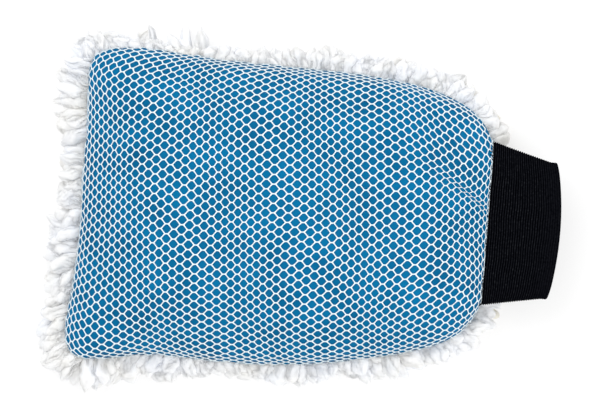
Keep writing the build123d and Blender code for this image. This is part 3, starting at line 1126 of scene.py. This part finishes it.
def make_binding():
    """Tape folded round the perimeter seam's raw edges."""
    curve, _, outward = edge_run(2.0 * MM)
    # The tape's section, from one edge round the fold to the other: inset and height in millimetres.
    fold = ((12.8, -0.34), (9.0, -0.38), (6.9, -0.3), (6.5, 0.0), (6.9, 0.3), (9.0, 0.38), (12.8, 0.34))
    wave_z = 0.05 * MM * np.sin(np.arange(len(curve)) * 0.9)
    rows = []
    for inset, height in fold:
        plan = curve - outward * inset * MM
        z = SEAM_Z - 0.5 * MM + height * MM + wave_z
        rows.append(np.concatenate([plan, z[:, None]], axis=1))
    tape = sheet_from_grid("binding_tape", np.array(rows), False)
    thicken(tape, 0.12 * MM, 0.0)
    material = cloth_material("white_binding", (0.74, 0.75, 0.76), 0.7 * MM)
    finish_piece(tape, material, "mitt", ["seam_binding"])


def make_perimeter_stitching():
    """A lockstitch line, one short arched stitch after another."""
    pitch, stitch, inset = 3.0 * MM, 2.6 * MM, 5.4 * MM
    curve, tangent, outward = edge_run(pitch)
    t = np.linspace(-0.5, 0.5, 7)[None, :, None]
    plan = (curve - outward * inset)[:, None] + tangent[:, None] * stitch * t
    arch = SEAM_Z - 0.35 * MM + 0.25 * MM * (1 - (2 * t) ** 2)
    paths = np.concatenate([plan, np.broadcast_to(arch, (*plan.shape[:2], 1))], axis=-1)
    stitches = threads("perimeter_stitches", paths, 0.2 * MM)
    material = thread_material("white_thread", (0.85, 0.85, 0.85))
    finish_piece(stitches, material, "mitt", ["perimeter_stitching"])


# ---- studio
def make_camera(scene):
    """A camera straight above, framing the mitt with a narrow margin to its left and right."""
    data = bpy.data.cameras.new("camera")
    camera = bpy.data.objects.new("camera", data)
    scene.collection.objects.link(camera)
    view_width = (CAD_BOX[1][0] - CAD_BOX[0][0]) * FRAME_MARGIN
    camera.location = (0.0, -0.5 * MM, CAMERA_HEIGHT)
    data.sensor_width = SENSOR
    data.lens = SENSOR * (CAMERA_HEIGHT - EDGE_Z) / view_width
    data.clip_end = 10.0
    scene.camera = camera


def make_floor():
    """A bright floor, which lights the mitt's edge from below as white paper does."""
    bpy.ops.mesh.primitive_plane_add(size=6.0, location=(0, 0, -0.5 * MM))
    floor = bpy.context.object
    floor.name = "floor"
    surface = Surface("bright_floor", (0.4, 0.4, 0.4), 0.9)
    surface.set("Emission Color", (1.0, 1.0, 1.0, 1.0))
    surface.set("Emission Strength", 0.6)
    floor.data.materials.append(surface.material)


def make_lights(scene):
    """An even white surround and two large soft lamps: name, place, size in metres and watts."""
    world = bpy.data.worlds.new("studio")
    scene.world = world
    world.use_nodes = True
    background = world.node_tree.nodes["Background"]
    background.inputs["Color"].default_value = (1.0, 1.0, 1.0, 1.0)
    background.inputs["Strength"].default_value = 0.8
    lamps = (("key", (-0.5, 0.7, 1.1), 1.0, 7.0),
             ("fill", (0.8, -0.5, 1.0), 1.2, 6.5))
    for name, place, size, power in lamps:
        data = bpy.data.lights.new(name, "AREA")
        data.size = size
        data.energy = power
        lamp = bpy.data.objects.new(name, data)
        lamp.location = place
        lamp.rotation_euler = (-Vector(place)).to_track_quat("-Z", "Y").to_euler()
        scene.collection.objects.link(lamp)


def make_studio():
    scene = bpy.context.scene
    scene.view_settings.view_transform = "Standard"
    make_camera(scene)
    make_floor()
    make_lights(scene)


make_studio()
face, face_edge = make_face()
net = make_net(face, face_edge)
white = white_pile()
make_fringe(white, cream_pile())
make_pile_field(white)
make_cuff(elastic_material())
black_thread = thread_material("black_thread", (0.006, 0.006, 0.008))
make_closing_stitches(black_thread)
make_mouth_overlock(black_thread)
make_padding()
make_linings()
make_binding()
make_perimeter_stitching()
